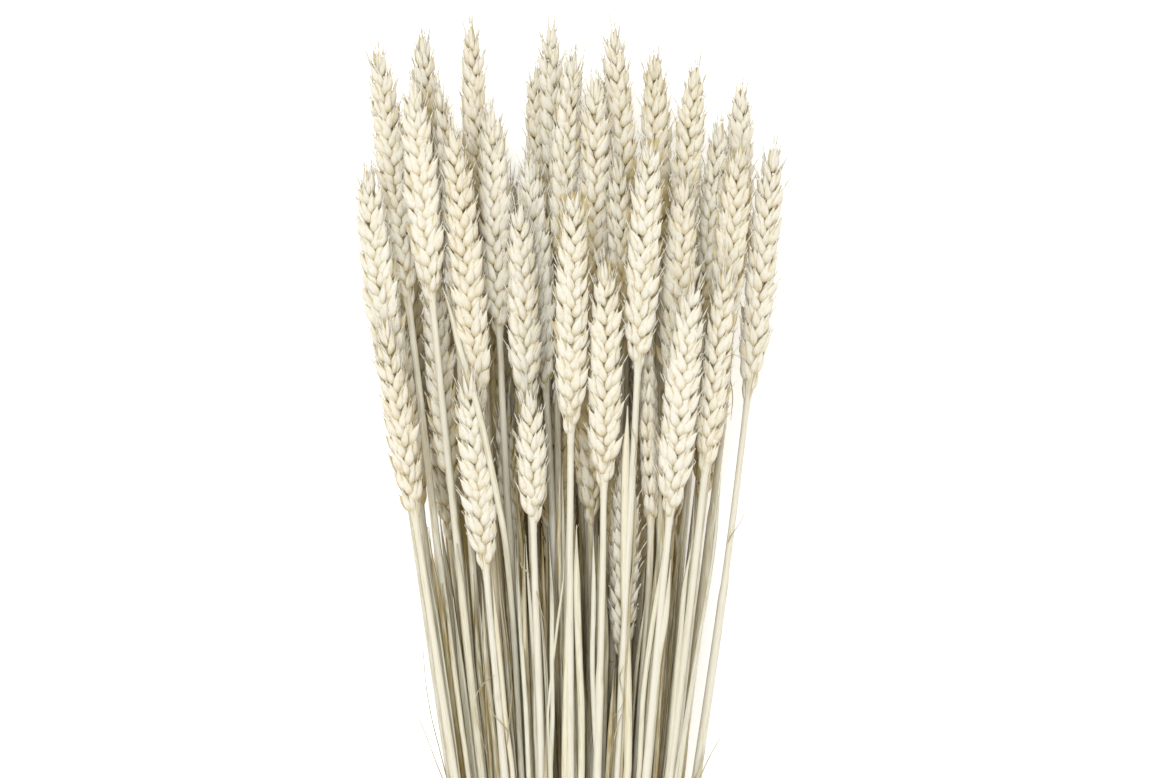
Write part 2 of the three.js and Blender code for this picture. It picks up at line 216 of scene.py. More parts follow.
# How high the bunch reaches at each place: the crest itself, the brow, which is the highest crest
# close by, and the soft crest, which is its mean about there.
map_x = np.arange(-MAP_COLUMNS, MAP_COLUMNS + 1) * MAP_STEP
map_y = np.arange(-MAP_ROWS, MAP_ROWS + 1) * MAP_ROW
crest = np.zeros((len(map_y), len(map_x)))
for line, butt, foot, tip, _, fullness in runs.values():
    rows = (map_y > butt) & (map_y < tip)
    course = line(map_y[rows])
    share = (map_y[rows] - foot) / (tip - foot)
    ear_girth = EAR_HALF_WIDTH * fullness * np.interp(share, GIRTH_HEIGHTS, GIRTHS)
    girth = np.where(share < 0, BUTT_RADIUS, ear_girth)
    within = 1 - ((map_x - course[:, :1]) / girth[:, None]) ** 2
    surface = course[:, 2:] + MAP_ROUNDNESS * girth[:, None] * np.sqrt(np.clip(within, 0, 1))
    crest[rows] = np.maximum(crest[rows], np.where(within > 0, surface, 0))


def moved(heights, reach):
    """A map moved to either side by each number of columns up to a reach."""
    return [np.roll(heights, k, axis=1) for k in range(-reach, reach + 1)]


brow = np.max(moved(crest, BROW_REACH), axis=0)
soft_crest = sum(moved(crest, MAP_BLUR)) / (2 * MAP_BLUR + 1)


def height_at(places, heights):
    """What one of the maps gives at places across and along the bunch."""
    column = ((places[..., 0] - map_x[0]) / MAP_STEP).round().astype(int)
    row = ((places[..., 1] - map_y[0]) / MAP_ROW).round().astype(int)
    return heights[np.clip(row, 0, len(map_y) - 1), np.clip(column, 0, len(map_x) - 1)]


# Painted shade: skin that lies buried in the bunch, where shade falls, is drawn deep. Each gives
# the depth at which that starts, the depth at which it is full, the blush that is then lost, and
# how much more of a point's depth counts for each millimetre of its height. At the floor no more
# than LOW_SIDE counts.
CHAFF_BURIED_SHADE = (5.0, 14.0, 0.95, 0.45)
STRAW_BURIED_SHADE = (3.5, 11.0, 0.42, 1.3)
LOW_SIDE = 4.0


class Growth:
    """One piece while it grows: points and faces, and what its finish reads at each point."""

    def __init__(self):
        self.points, self.grain, self.blush, self.tone = [], [], [], []
        self.faces, self.finish = [], []
        self.count = 0

    def add(self, points, faces, grain, blush, tone, finish=0):
        """Adds points and faces. The finish is 0 for straw, leaf and twine and 1 for chaff."""
        shape = points.shape[:-1]
        # Painted shade: stalks that lie deep inside the bunch are drawn deeper than those on its outside.
        cover, buried_shade = (soft_crest, CHAFF_BURIED_SHADE) if finish else (brow, STRAW_BURIED_SHADE)
        low, high, less, climb = buried_shade
        level = points[..., 2]
        depth = np.minimum(height_at(points, cover) - level, LOW_SIDE + climb * level)
        blush = blush - less * rise(low, high, depth)
        self.points.append(points.reshape(-1, 3))
        self.grain.append(np.broadcast_to(grain, points.shape).reshape(-1, 3))
        self.blush.append(np.broadcast_to(blush, shape).ravel())
        self.tone.append(np.broadcast_to(tone, shape).ravel())
        for corners in faces:
            self.faces.append(corners + self.count)
            self.finish.append(np.full(len(corners), finish))
        self.count += len(self.points[-1])

    def piece(self, name, materials):
        """Makes the piece, with its grain, blush and tone as attributes that its finish reads."""
        mesh = bpy.data.meshes.new(name)
        points = np.concatenate(self.points) * MM
        points[:, 2] = np.maximum(points[:, 2], 0)
        mesh.vertices.add(len(points))
        mesh.vertices.foreach_set("co", points.ravel())
        corners = np.concatenate([faces.ravel() for faces in self.faces])
        sizes = np.concatenate([np.full(len(faces), faces.shape[1]) for faces in self.faces])
        mesh.loops.add(len(corners))
        mesh.loops.foreach_set("vertex_index", corners)
        mesh.polygons.add(len(sizes))
        mesh.polygons.foreach_set("loop_start", np.cumsum(sizes) - sizes)
        mesh.polygons.foreach_set("material_index", np.concatenate(self.finish))
        mesh.polygons.foreach_set("use_smooth", np.ones(len(sizes), bool))
        mesh.update(calc_edges=True)
        for label, kind, field, values in (
            ("grain", "FLOAT_VECTOR", "vector", self.grain),
            ("blush", "FLOAT", "value", self.blush),
            ("tone", "FLOAT", "value", self.tone),
        ):
            layer = mesh.attributes.new(label, kind, "POINT")
            layer.data.foreach_set(field, np.concatenate(values).ravel().astype(np.float32))
        for material in materials:
            mesh.materials.append(material)
        made = bpy.data.objects.new(name, mesh)
        bpy.context.scene.collection.objects.link(made)
        return made


# The blush of a bare straw, of its cut rim and of its hollow, and what is taken from it at its
# joints, at the torn edge of its sheath and where it goes into the ear. The dark hollow and the
# deeper stem inside the ear are painted shade.
STRAW_BLUSH = 1.05
RIM_BLUSH = 0.3
HOLLOW_BLUSH = 0.0
JOINT_SHADE = 0.35
TEAR_SHADE = 0.35
EAR_FOOT_SHADE = 0.5

# How close the fibres lie round a straw and along it, and how far apart two pieces may lie in the
# pattern of the fibres, so that no two are alike.
STRAW_LINES = (2.5, 0.03)
GRAIN_SHIFT = 90


def grow_straw(stalk, line, butt, foot, tip, hue, shade, rng):
    """The hollow straw from its cut end up into the ear, with joints and a torn leaf sheath."""
    top = tip - LAST_SPIKELET
    low_joint = butt + rng.uniform(*LOW_JOINT)
    seen = rng.random() < HIGH_JOINT_SHARE
    high_joint = rng.uniform(*HIGH_JOINT) if seen else butt + HIDDEN_JOINT
    joints = [low_joint, high_joint]
    sheath_end = foot - rng.uniform(*SHEATH_BARES)
    about_a_joint = np.array([-2, -1, 0, 1, 2]) * JOINT_HALF_LENGTH / 2
    marks = [y for joint in joints for y in joint + about_a_joint]
    marks += [sheath_end - 0.3, sheath_end, foot - 2.0, foot - 1.0, foot]
    heights = np.concatenate([np.arange(butt, top, STRAW_RING_STEP), [top], marks])
    heights = np.unique(heights.round(2))
    apart = np.diff(heights, prepend=-1e3) > CLOSEST_RINGS
    heights = heights[(heights <= top) & apart]
    path = line(heights)

    radius = np.interp(
        heights,
        [butt, foot, foot + EAR_CORE_START, top],
        [BUTT_RADIUS, NECK_RADIUS, EAR_CORE_RADIUS, EAR_CORE_TIP],
    )
    swelling = sum(np.exp(-(((heights - joint) / JOINT_HALF_LENGTH) ** 2)) for joint in joints)
    radius *= 1 + JOINT_SWELLING * swelling
    radius += COLLAR * np.exp(-((heights - foot + 1) ** 2))
    angle = np.linspace(0, 2 * pi, STRAW_SIDES, endpoint=False)
    slant = sheath_end + SHEATH_SLANT * np.cos(angle - rng.uniform(0, 2 * pi))
    # A sheath is thicker where its two edges meet, and its torn edge is not quite sharp.
    seam = 1 + 0.25 * np.exp(-(((angle - 1) / 0.5) ** 2))
    wrapped = rise(0.4, -0.4, heights[:, None] - slant)
    radii = radius[:, None] + SHEATH_THICKNESS * seam * wrapped
    radii *= 1 + OVALNESS * np.cos(2 * angle + rng.uniform(0, 6))
    points, _ = tube(path, radii, STRAW_SIDES)
    slope = CUT_SLOPE * rng.uniform(-1, 1)
    points[0, :, 1] += slope * BUTT_RADIUS * np.cos(angle)

    # The cut end is turned in to the hollow of the straw.
    middle = line(heights[0])
    rim = middle + (points[0] - middle) * (1 - STRAW_WALL / BUTT_RADIUS)
    bottom = rim + (line(butt + HOLLOW_DEPTH) - line(butt))
    points = np.concatenate([bottom[None], rim[None], points])
    along = np.concatenate([[butt + HOLLOW_DEPTH, butt], heights])
    around, up = STRAW_LINES
    grain = triples(around * np.cos(angle), up * along[:, None], around * np.sin(angle))
    bare = STRAW_BLUSH - JOINT_SHADE * np.clip(swelling, 0, 1)
    # Painted shade: the stem inside the ear, seen between its scales, is drawn deeper.
    bare = bare - EAR_FOOT_SHADE * rise(foot + 2, foot + EAR_CORE_START, heights)
    # Painted shade: the hollow is deepest at its bottom and lighter up to the cut rim.
    blush = np.concatenate([[HOLLOW_BLUSH, RIM_BLUSH], bare])[:, None]
    torn = wrapped * (1 - wrapped) * 4
    blush = blush - TEAR_SHADE * np.concatenate([np.zeros((2, STRAW_SIDES)), torn])
    faces = ring_faces(len(points), STRAW_SIDES)
    stalk.add(points, faces, grain + rng.uniform(0, GRAIN_SHIFT, 3), blush - shade, hue)


# An ear: how far apart its spikelets are, how far it twists in degrees, and its awns, of which each
# has its foot at shares of its scale's length upwards and of its thickness inwards.
SPIKELET_STEP = 3.45
EAR_TWIST = 14
LONGEST_AWN = 5.2
AWN_WIDTH = 0.6
AWN_DEPTH = 0.5
AWN_FOOT = (0.94, 0.26)

# How close the fibres lie across, along and through a scale and an awn, and how much the scales of
# one stalk differ in tone.
SCALE_LINES = (2.2, 0.35, 1.4)
AWN_LINES = (0.2, 0.2, 0.2)
SCALE_TONES = 0.4

# How unevenly the scales grow, in the units of the kinds below: the spread of each value and of a
# scale's size, and the few scales that lean out further.
UNEVEN = dict(across=0.16, deep=0.14, up=0.25, lean=3.0, spread=2.5, roll=10)
UNEVEN_SIZE = 0.07
STRAY_SHARE = 0.07
STRAY_LEAN = 6

# Where a scale of each kind stands on its spikelet and how it leans, in millimetres and degrees.
# Mirror images stand on the front and on the back of the ear.
#   across, deep, up: its foot from the ear's middle; lean, spread: outwards and to the front;
#   roll: how far its back turns from the front to the side; wide, long, thick: its size;
#   awn: the length of its bristle.
# The glume is the outermost scale. The lemma and the two inner ones cover a spikelet's grains, and
# the terminal ones close the tip of the ear.
GLUME = dict(
    across=0.3, deep=2.5, up=-0.8, lean=20, spread=6, roll=5,
    wide=4.2, long=9.4, thick=1.0, awn=0.7,
)
LEMMA = dict(
    across=1.9, deep=1.2, up=0.1, lean=31, spread=7, roll=32,
    wide=4.9, long=11.2, thick=1.3, awn=1.4,
)
FLORET = dict(
    across=1.3, deep=1.7, up=2.4, lean=23, spread=4, roll=14,
    wide=4.5, long=9.2, thick=1.2, awn=1.0,
)
INNER_LEMMA = dict(
    across=2.4, deep=0.9, up=2.1, lean=28, spread=5, roll=72,
    wide=4.9, long=10.4, thick=1.9, awn=1.6,
)
TERMINAL = dict(
    across=0.5, deep=0.6, up=0.0, lean=6, spread=4, roll=25,
    wide=4.6, long=15.5, thick=1.8, awn=1.8,
)
# The ear that lies edge up has opened like a fan, so its scales spread this much more.
OPENED = {"stalk_34": 4.5}


def scale_form(rings, keel, flatness):
    """A scale of unit size with a round foot, a sharp point, a full back and a flat inner side."""
    # Its rings lie closer at both ends. It is fullest low down and draws out to its point.
    share = (1 - np.cos(np.linspace(0.07, 0.95, rings) * pi)) / 2
    fullness = np.sin(pi * share**0.68) ** (0.5 + 1.1 * share)

    # Round a ring, from the keel along its back, its points lie closer on the back.
    angle = np.radians([0, 32, 62, 88, 130, 180, 230, 272, 298, 328])
    sides = len(angle)
    back = np.cos(angle)
    out = np.where(back > 0, np.abs(back) ** flatness * (1 + keel * np.abs(back) ** 8), 0.3 * back)
    points = triples(
        0.5 * fullness[:, None] * np.sin(angle),
        share[:, None],
        (fullness**1.3)[:, None] * out - 0.3 * share[:, None] ** 3,
    )
    points = np.vstack([points.reshape(-1, 3), [[0, 1.02, -0.33]]])
    last = (rings - 1) * sides
    faces = ring_faces(rings, sides, close_end=False)
    corner = np.arange(sides)
    tops = np.full(sides, rings * sides)
    faces.append(np.stack([last + corner, tops, last + (corner + 1) % sides], axis=-1))
    faces = [corners[:, ::-1] for corners in faces]

    # Painted light and shade: its back, which faces out, is palest, and its foot, its sides and its
    # inner side, which lie in the folds under other scales, are deeper, partly their own tan and
    # partly painted shade.
    light = (0.1 + 0.85 * rise(0.0, 0.38, share))[:, None] * (0.15 + 0.85 * rise(-0.2, 0.75, back))
    return points, faces, np.append(light.ravel(), 1.0)


def lay_scales(stalk, form, lines, feet, along, out, sizes, hue, shade, rng):
    """Sets a copy of a scale at each foot, lengthwise along one direction, its back facing out."""
    points, faces, light = form
    across = unit(np.cross(along, out))
    out = np.cross(across, along)
    placed = feet[:, None] + sum(
        axis[:, None] * (points[:, k] * sizes[:, k, None])[..., None]
        for k, axis in enumerate((across, along, out))
    )
    grain = points * lines + rng.uniform(0, GRAIN_SHIFT, (len(feet), 1, 3))
    tone = np.broadcast_to(hue + rng.normal(0, SCALE_TONES, (len(feet), 1)), placed.shape[:2])
    first = np.arange(len(feet))[:, None, None] * len(points)
    every = [(corners[None] + first).reshape(-1, corners.shape[1]) for corners in faces]
    stalk.add(placed, every, grain, light - shade, tone, 1)


def awn_form():
    """A three-sided bristle of unit length that thins out and bends a little."""
    share = np.array([[0], [0.35], [0.7]])
    angle = np.linspace(0, 2 * pi, 3, endpoint=False)
    girth = 0.5 * (1 - 0.6 * share)
    bend = 0.08 * share**2
    points = triples(girth * np.cos(angle), share, girth * np.sin(angle) + bend)
    points = np.vstack([points.reshape(-1, 3), [[0, 1, 0.16]]])
    tip = np.array([[6, 9, 7], [7, 9, 8], [8, 9, 6]])
    return points, ring_faces(3, 3, close_end=False) + [tip], np.full(10, 1.2)


LEMMA_FORM = scale_form(9, 0.4, 0.7)
INNER_FORM = scale_form(8, 0.35, 0.75)
GLUME_FORM = scale_form(9, 0.6, 0.6)
AWN_FORM = awn_form()


def grow_ear(stalk, line, foot, tip, turn, fullness, opened, hue, shade, rng):
    """The spikelets up the two sides of the ear, each with its glumes, lemmas and short awns."""
    room = tip - foot - FIRST_SPIKELET - LAST_SPIKELET
    count = round(room / SPIKELET_STEP)
    number = np.arange(count + 1)
    first_side = rng.integers(2)
    height = foot + FIRST_SPIKELET + number * room / count
    share = (height - foot) / (height[-1] - foot)
    girth = fullness * np.interp(share, GIRTH_HEIGHTS, GIRTHS)
    curl = radians(rng.uniform(-EAR_TWIST, EAR_TWIST)) * (share - 0.5)
    twist = turn + curl + radians(3) * rng.normal(size=len(number))

    def set_scales(form, kind, face, rows=slice(None), side=None):
        """Sets one kind of scale on some spikelets, towards the front (1) or the back (-1)."""
        y, g, s = height[rows], girth[rows], share[rows]
        if side is None:
            side = np.where(number[rows] % 2 == first_side, 1.0, -1.0)
        middle = line(y)
        up = unit(line(y + 1) - line(y - 1))
        sideways = triples(np.cos(twist[rows]), 0.0, -np.sin(twist[rows]))
        sideways = unit(sideways - up * (sideways * up).sum(axis=-1, keepdims=True))
        facing = face * np.cross(sideways, up)
        outwards = sideways * np.reshape(side, (-1, 1))

        def uneven(value):
            return rng.normal(0, UNEVEN[value], len(y))

        # The scales lie closer and are smaller where the ear is slim.
        opening = 0.1 + 0.9 * g
        lean = kind["lean"] * opening + uneven("lean")
        lean = radians(1) * (lean + STRAY_LEAN * (rng.random(len(y)) > 1 - STRAY_SHARE))
        spread = radians(1) * (kind["spread"] * opened * opening + uneven("spread"))
        roll = radians(1) * (kind["roll"] + uneven("roll"))
        feet = (
            middle
            + outwards * (kind["across"] * g + uneven("across"))[:, None]
            + facing * (kind["deep"] * g + uneven("deep"))[:, None]
            + up * (kind["up"] * opening + uneven("up"))[:, None]
        )
        along = unit(
            up * np.cos(lean)[:, None]
            + outwards * (np.sin(lean) * np.cos(spread))[:, None]
            + facing * np.sin(spread)[:, None]
        )
        out = facing * np.cos(roll)[:, None] + outwards * np.sin(roll)[:, None]
        out = unit(out - along * (out * along).sum(axis=-1, keepdims=True))
        slimness = triples(0.15 + 0.85 * g, 0.55 + 0.45 * g, 0.15 + 0.85 * g)
        size = slimness * [kind["wide"], kind["long"], kind["thick"]]
        size *= rng.normal(1, UNEVEN_SIZE, size.shape)
        lay_scales(stalk, form, SCALE_LINES, feet, along, out, size, hue, shade, rng)

        # A few awns grow long, and all are longer towards the tip of the ear.
        upwards, inwards = AWN_FOOT
        awns = feet + along * (size[:, 1] * upwards)[:, None]
        awns = awns - out * (size[:, 2] * inwards)[:, None]
        length = kind["awn"] * (0.8 + rng.random(len(y)) ** 3 * 3.2) * (1 + rise(0.7, 0.95, s))
        length = np.minimum(length, LONGEST_AWN * (1 + 0.7 * rise(0.85, 1, s)))
        sizes = triples(AWN_WIDTH, length, AWN_DEPTH)
        lay_scales(stalk, AWN_FORM, AWN_LINES, awns, along, out, sizes, hue, shade, rng)

    top = slice(count, None)
    for face in (1, -1):
        set_scales(GLUME_FORM, GLUME, face)
        set_scales(LEMMA_FORM, LEMMA, face)
        set_scales(INNER_FORM, FLORET, face)
        set_scales(INNER_FORM, INNER_LEMMA, face)
        for side in (1, -1):
            set_scales(LEMMA_FORM, TERMINAL, face, top, side)


class Signal:
    """A socket of a material's graph. Sums and products of signals add Math nodes to it."""

    def __init__(self, tree, socket=None):
        self.tree, self.socket = tree, socket

    def node(self, kind, settings=None, inputs=None, output=0):
        """Adds a node, sets it up, feeds its sockets with links or values, and gives one output."""
        made = self.tree.nodes.new(kind)
        for name, value in (settings or {}).items():
            setattr(made, name, value)
        for name, value in (inputs or {}).items():
            if isinstance(value, Signal):
                self.tree.links.new(value.socket, made.inputs[name])
            else:
                made.inputs[name].default_value = value
        return None if output is None else Signal(self.tree, made.outputs[output])

    def maths(self, operation, first, second):
        """A Math node on two signals or numbers."""
        return self.node("ShaderNodeMath", {"operation": operation}, {0: first, 1: second})

    def __add__(self, other):
        return self.maths("ADD", self, other)

    def __sub__(self, other):
        return self.maths("SUBTRACT", self, other)

    def __rsub__(self, other):
        return self.maths("SUBTRACT", other, self)

    def __mul__(self, other):
        return self.maths("MULTIPLY", self, other)

    __radd__ = __add__
    __rmul__ = __mul__

    def between(self, first, second):
        """The first colour where this signal is 0, the second where it is 1."""
        return self.node("ShaderNodeMix", {"data_type": "RGBA"}, {0: self, 6: first, 7: second}, 2)


def colour(red, green, blue):
    """A colour as a paint chart gives it, 0 to 255, in the linear form that a shader takes."""
    linear = [((c / 255 + 0.055) / 1.055) ** 2.4 for c in (red, green, blue)]
    return (*linear, 1.0)


# What every dry skin shares: broad patches that shade and tint it, how much its tone tints it, the
# height of its fibres in metres, and how much they change its roughness.
PATCH_SCALE = 0.7
PATCH_SHADE = 0.6
PATCH_TINT = 0.8
TONE_TINT = 0.22
FIBRE_HEIGHT = 0.0004
FIBRE_ROUGHNESS = 0.25


def dry_finish(name, deep, pale, warm, cool, roughness, fibre, streaks, bump):
    """A dry plant skin: deep colour in its folds, in part painted shade, pale on its backs, with fibres
    along it.
    """
    material = bpy.data.materials.new(name)
    material.use_nodes = True
    tree = material.node_tree
    tree.nodes.clear()
    start = Signal(tree)
    grain = start.node("ShaderNodeAttribute", {"attribute_name": "grain"}, output="Vector")
    blush = start.node("ShaderNodeAttribute", {"attribute_name": "blush"}, output="Fac")
    tone = start.node("ShaderNodeAttribute", {"attribute_name": "tone"}, output="Fac")
    in_space = {"noise_dimensions": "3D"}
    fine = {"Vector": grain, "Scale": fibre, "Detail": 3.0}
    broad = {"Vector": grain, "Scale": PATCH_SCALE, "Detail": 2.0}
    fibres = start.node("ShaderNodeTexNoise", in_space, fine)
    patches = start.node("ShaderNodeTexNoise", in_space, broad)
    lit = blush + (patches - 0.5) * PATCH_SHADE + (fibres - 0.5) * streaks
    skin = start.node("ShaderNodeClamp", {}, {0: lit}).between(deep, pale)
    cast = tone * TONE_TINT + 0.5 + (patches - 0.5) * PATCH_TINT
    tint = start.node("ShaderNodeClamp", {}, {0: cast}).between(warm, cool)
    multiply = {"data_type": "RGBA", "blend_type": "MULTIPLY"}
    skin = start.node("ShaderNodeMix", multiply, {0: 1.0, 6: skin, 7: tint}, 2)
    raised = {"Height": fibres, "Strength": bump, "Distance": FIBRE_HEIGHT}
    relief = start.node("ShaderNodeBump", {}, raised)
    shader = start.node("ShaderNodeBsdfPrincipled", {}, {
        "Base Color": skin,
        "Roughness": roughness + (fibres - 0.5) * FIBRE_ROUGHNESS,
        "Normal": relief,
        "IOR": 1.42,
    })
    start.node("ShaderNodeOutputMaterial", {}, {"Surface": shader}, None)
    return material


STRAW = dry_finish(
    "dry_straw",
    deep=colour(152, 132, 77),
    pale=colour(216, 213, 203),
    warm=colour(254, 250, 238),
    cool=colour(248, 250, 252),
    roughness=0.6,
    fibre=3.2,
    streaks=2.4,
    bump=0.35,
)
CHAFF = dry_finish(
    "dry_chaff",
    deep=colour(198, 183, 140),
    pale=colour(226, 223, 214),
    warm=colour(254, 250, 242),
    cool=colour(251, 252, 253),
    roughness=0.7,
    fibre=3.4,
    streaks=1.5,
    bump=1.0,
)

# How much stalks differ in tone and in shade.
STALK_SEED = 4000
STALK_TONES = 0.8
STALK_SHADES = 0.06

for seed, name in enumerate(STALKS):
    rng = np.random.default_rng(STALK_SEED + seed)
    line, butt, foot, tip, turn, fullness = runs[name]
    stalk = Growth()
    hue = rng.normal(0, STALK_TONES)
    shade = rng.normal(0, STALK_SHADES)
    grow_straw(stalk, line, butt, foot, tip, hue, shade, rng)
    grow_ear(stalk, line, foot, tip, turn, fullness, OPENED.get(name, 1.0), hue, shade, rng)
    piece = stalk.piece(name + "_grown", [STRAW, CHAFF])
    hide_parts(name)
    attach(piece, "root")

# ---- The dry leaves ---------------------------------------------------------------------------
# What is left of the leaves is thin as paper: torn sheaths that clasp a straw, long strips at the
# front, broad leaves at the back, and blades that rolled up lengthwise as they dried. Each grew
# from a joint of its straw and hangs on by its foot.
LEAF_SEED = 77
LEAF_THICKNESS = 0.16
LEAF_RING_STEP = 3.0
LEAF_POINTS = 6
LEAF_LINES = (2.4, 0.04)
LEAF_BLUSH = 0.82
LEAF_EDGE_SHADE = 0.35
LEAF_TONES = 1.0

# The torn sheaths, in four pieces: how far below the ear they end, how far above the cut end they
# start at least, how long and wide they are, how closely and how far round they clasp the straw, on
# which side in radians from the front, and how far their free ends stand off and sway. A taper says
# how wide a leaf is at its foot, and at which shares of its length it is full and narrows.
CLASP_COUNT = 46
CLASP_PIECES = 4
CLASP_DROP = (15, 170)
CLASP_LOWEST = 70
CLASP_LENGTH = (60, 190)
CLASP_WIDTH = (3.4, 5.6)
CLASP_TAPER = (0.08, 0.1, 0.82)
CLASP_GAP = 0.25
CLASP_FOLD = 1.9
CLASP_SIDE = 1.1
CLASP_LIFT = (0.3, 2.2)
CLASP_SWAY = 1.2
CLASP_SHADES = (-0.3, 0.2)


def ribbon(path, widths, folds, turns):
    """A leaf along a path as a closed skin, folded lengthwise and turned about the path."""
    _, sideways, up = frames_along(path)
    across = np.linspace(-1, 1, LEAF_POINTS)
    bend = folds[:, None] * across
    radius = (widths / 2 / folds)[:, None]
    skins = [
        np.stack([r * np.sin(bend), r * np.cos(bend) - radius], axis=-1)
        for r in (radius, radius - LEAF_THICKNESS)
    ]
    section = np.concatenate([skins[1], skins[0][:, ::-1]], axis=1)
    c, s = np.cos(turns)[:, None], np.sin(turns)[:, None]
    x = section[..., 0] * c + section[..., 1] * s
    z = section[..., 1] * c - section[..., 0] * s
    return path[:, None] + x[..., None] * sideways[:, None] + z[..., None] * up[:, None]


def tapered(width, share, least, foot, tip):
    """A leaf's width along its length, from a part of it at the foot to a tenth at the tip."""
    widths = width * (least + (1 - least) * rise(0, foot, share))
    return widths * (1 - 0.9 * rise(tip, 1, share))


def add_leaf(leaves, path, widths, folds, turns, hue, shade, rng):
    """Adds a leaf, deeper in colour towards its two edges."""
    points = ribbon(path, widths, folds, turns)
    across = np.concatenate([np.linspace(-1, 1, LEAF_POINTS), np.linspace(1, -1, LEAF_POINTS)])
    close, up = LEAF_LINES
    grain = triples(close * across, up * path[:, 1:2], 0.0)
    blush = LEAF_BLUSH - LEAF_EDGE_SHADE * np.abs(across) - shade
    faces = ring_faces(*points.shape[:2])
    leaves.add(points, faces, grain + rng.uniform(0, GRAIN_SHIFT, 3), blush, hue)


LEAF = dry_finish(
    "dry_leaf",
    deep=colour(149, 129, 75),
    pale=colour(216, 213, 200),
    warm=colour(254, 249, 236),
    cool=colour(247, 249, 247),
    roughness=0.6,
    fibre=2.6,
    streaks=2.2,
    bump=0.7,
)

rng = np.random.default_rng(LEAF_SEED)
clasps = [Growth() for _ in range(CLASP_PIECES)]
for k, name in enumerate(rng.permutation(STALKS)[:CLASP_COUNT]):
    line, butt, foot = runs[name][:3]
    top = foot - rng.uniform(*CLASP_DROP)
    low = max(butt + CLASP_LOWEST, top - rng.uniform(*CLASP_LENGTH))
    heights = np.arange(low, top, LEAF_RING_STEP)
    share = (heights - low) / (top - low)
    girth = np.interp(heights, [butt, foot], [BUTT_RADIUS, NECK_RADIUS])
    girth = girth + SHEATH_THICKNESS + CLASP_GAP
    around = rng.normal(0, CLASP_SIDE)
    loose = rise(0.75, 1, share) * rng.uniform(*CLASP_LIFT)
    out = np.array([np.sin(around), 0, np.cos(around)])
    path = line(heights) + out * (girth + loose)[:, None]
    path[:, 0] += rise(0.8, 1, share) * rng.normal(0, CLASP_SWAY)
    widths = tapered(rng.uniform(*CLASP_WIDTH), share, *CLASP_TAPER)
    folds = np.minimum(widths / 2 / (girth + LEAF_THICKNESS), CLASP_FOLD)
    hue = rng.normal(0, LEAF_TONES)
    shade = rng.uniform(*CLASP_SHADES)
    add_leaf(clasps[k % CLASP_PIECES], path, widths, folds, around + 0.5 * loose, hue, shade, rng)
for k, clasp in enumerate(clasps):
    piece = clasp.piece(f"leaf_sheaths_{k + 1}", [LEAF])
    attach(piece, "root")

# The strips: how far they run on below their last place, how close they gather at the waist, how
# deep they lie in the front of the bunch, how smoothly, and how long the taper to their tips is.
STRIP_TAIL = (60, 130)
WAIST_Y = -183.0
WAIST_SHARE = 0.34
STRIP_LIFT = -0.6
SMOOTHED = 4
STRIP_FOOT = (0.3, 0.1)
STRIP_TAPER = 26.0
STRIP_FOLDS = (1.2, 1.7)
STRIP_SHADES = (-0.5, -0.1)

# The long strips at the front, as the photograph shows them: the width of each, and the places
# that it passes from its tip downwards, across and along the bunch.
STRIPS = [
    (2.2, [(-50, 96), (-47, 70), (-44.5, 50), (-41.9, 30), (-39.2, 10)]),
    (2.2, [(-29.5, 84), (-27, 60), (-25.4, 44), (-23.6, 25), (-21.6, 10)]),
    (2.8, [(-49.6, 196), (-47.4, 190), (-41.3, 168), (-34.7, 146), (-29.9, 124), (-25, 98), (-22.2, 70),
           (-20.1, 40), (-18.4, 10)]),
    (2.0, [(-20, 92), (-18.5, 60), (-16.5, 30), (-15.6, 10)]),
    (2.4, [(-13, 98), (-12.6, 70), (-12.2, 50), (-11.7, 30), (-11.2, 10)]),
    (2.1, [(-7.6, 97), (-6.8, 70), (-6.9, 50), (-6.6, 30), (-7.3, 10)]),
    (1.1, [(-1.6, 92), (-2, 84), (-4.2, 65), (-6, 50), (-8, 30)]),
    (2.9, [(0.6, 112), (0.5, 90), (0.2, 70), (-0.4, 50), (-1, 30), (-1.5, 10)]),
    (2.9, [(2.8, 104), (3, 80), (3.9, 50), (4.8, 30), (5, 10)]),
    (2.1, [(9.2, 100), (9.3, 70), (8.9, 50), (9.6, 30), (10.6, 10)]),
    (3.5, [(22.4, 150), (22, 110), (22, 70), (22.6, 50), (22.8, 30), (22.6, 10)]),
    (2.2, [(36.5, 96), (34.5, 80), (31.5, 60), (28.8, 40), (27, 10)]),
    (2.9, [(39, 90), (37, 70), (33.8, 50), (31.8, 30), (30.2, 10)]),
    (2.4, [(47.5, 97), (44.5, 80), (42.6, 60), (40.6, 40), (38, 10)]),
    (1.8, [(53, 76), (50.5, 60), (47.4, 40), (45.4, 28), (43, 10)]),
    (1.5, [(58.5, 122), (55.4, 91), (48.5, 52), (43.6, 22), (41.5, 10)]),
]


def leaf_course(places):
    """The curve through a leaf's places, and the heights of its foot and its tip."""
    places = np.array(places, float)[::-1]
    line = smooth_line(places[:, 1], np.stack([places[:, 0], 0 * places[:, 0]], axis=-1))
    return line, places[0, 1], places[-1, 1]


def lie_in_front(path, lift):
    """Lays a path on the front of the bunch, without its sharper ups and downs."""
    path[:, 2] = height_at(path, brow)
    span = 2 * SMOOTHED + 1
    edge = np.pad(path[:, 2], SMOOTHED, mode="edge")
    path[:, 2] = sum(edge[k:k + len(path)] for k in range(span)) / span + lift


